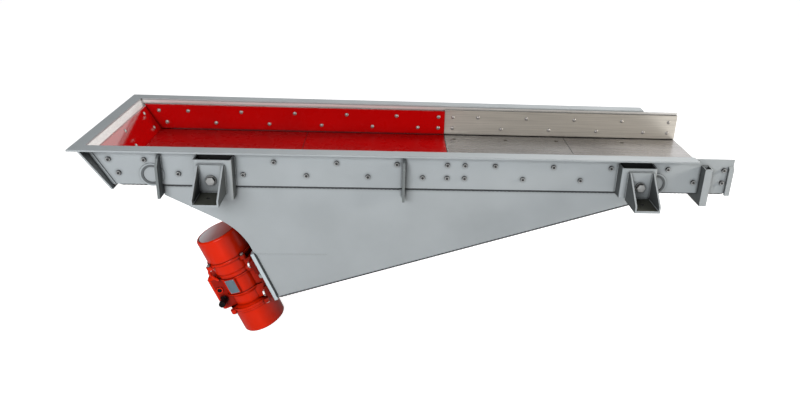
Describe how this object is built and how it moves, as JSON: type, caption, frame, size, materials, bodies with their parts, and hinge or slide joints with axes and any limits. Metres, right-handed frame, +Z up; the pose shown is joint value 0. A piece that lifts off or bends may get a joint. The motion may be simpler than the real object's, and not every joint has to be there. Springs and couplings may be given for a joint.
{
  "type": "linear vibratory feeder",
  "caption": "Linear vibratory feeder: long open trough with a sloped inlet end, wear liners, a rim flange, spring seats and unbalance motors on an inclined plate below.",
  "frame": {"origin": "midway between the four spring seat holes, on the undersides of the seats", "axes": "+X along the trough from the inlet to the open outlet, +Y across it to the far side, +Z up"},
  "size_m": [3.2, 1.192, 1.0869],
  "materials": {
    "grey_paint": "light blue-grey semi-gloss paint on steel",
    "red_liner": "glossy deep red wear plastic",
    "steel_liner": "rolled and brushed stainless wear sheet",
    "motor_paint": "glossy orange-red enamel on castings",
    "shield_casting": "plain cast iron, machined faces",
    "stator_steel": "varnished laminations and windings",
    "rotor_steel": "turned laminated steel",
    "shaft_steel": "ground steel",
    "bearing_steel": "polished bearing steel",
    "weight_iron": "oiled cast iron",
    "gland_plastic": "black moulded plastic",
    "plate_alloy": "bare anodised plate",
    "zinc_fasteners": "bright zinc plated"
  },
  "bodies": {
    "feeder": {"bearings_front": "bearing_steel", "bearings_rear": "bearing_steel", "cable_glands": "gland_plastic", "cover_bolts": "zinc_fasteners", "drive_web": "grey_paint", "floor_bolts": "zinc_fasteners", "floor_plate": "grey_paint", "foot_bolts": "zinc_fasteners", "inlet_cross_rib": "grey_paint", "inlet_end_plate": "grey_paint", "liner_bolts": "zinc_fasteners", "liner_nuts": "zinc_fasteners", "lower_cover_front": "motor_paint", "lower_cover_rear": "motor_paint", "lower_end_shield_front": "shield_casting", "lower_end_shield_rear": "shield_casting", "middle_ribs": "grey_paint", "motor_housing_front": "motor_paint", "motor_housing_rear": "motor_paint", "motor_plate": "grey_paint", "nameplates": "plate_alloy", "outlet_cross_frame": "grey_paint", "red_end_liner": "red_liner", "red_floor_liner_inlet": "red_liner", "red_floor_liner_middle": "red_liner", "red_side_liner_front": "red_liner", "red_side_liner_rear": "red_liner", "rim_flange_front": "grey_paint", "rim_flange_inlet": "grey_paint", "rim_flange_rear": "grey_paint", "seat_bolts": "zinc_fasteners", "seat_channel_inlet_front": "grey_paint", "seat_channel_inlet_rear": "grey_paint", "seat_channel_outlet_front": "grey_paint", "seat_channel_outlet_rear": "grey_paint", "side_wall_front": "grey_paint", "side_wall_rear": "grey_paint", "skirt_front": "grey_paint", "skirt_rear": "grey_paint", "spring_seat_inlet_front": "grey_paint", "spring_seat_inlet_rear": "grey_paint", "spring_seat_outlet_front": "grey_paint", "spring_seat_outlet_rear": "grey_paint", "stator_front": "stator_steel", "stator_rear": "stator_steel", "steel_floor_liner_middle": "steel_liner", "steel_floor_liner_outlet": "steel_liner", "steel_side_liner_front": "steel_liner", "steel_side_liner_rear": "steel_liner", "terminal_lids": "motor_paint", "upper_cover_front": "motor_paint", "upper_cover_rear": "motor_paint", "upper_end_shield_front": "shield_casting", "upper_end_shield_rear": "shield_casting"},
    "rotor_front": {"rotor_shaft_front": "shaft_steel", "rotor_core_front": "rotor_steel", "eccentric_weights_front": "weight_iron"},
    "rotor_rear": {"rotor_shaft_rear": "shaft_steel", "rotor_core_rear": "rotor_steel", "eccentric_weights_rear": "weight_iron"}
  },
  "joints": [
    {"name": "front_rotor_spin", "type": "hinge", "parent": "feeder", "child": "rotor_front", "pos_m": [-0.97038, -0.236, -0.57438], "axis": [-0.3875, 0, 0.9219], "continuous": true},
    {"name": "rear_rotor_spin", "type": "hinge", "parent": "feeder", "child": "rotor_rear", "pos_m": [-0.97038, 0.236, -0.57438], "axis": [-0.3875, 0, 0.9219], "continuous": true}
  ]
}
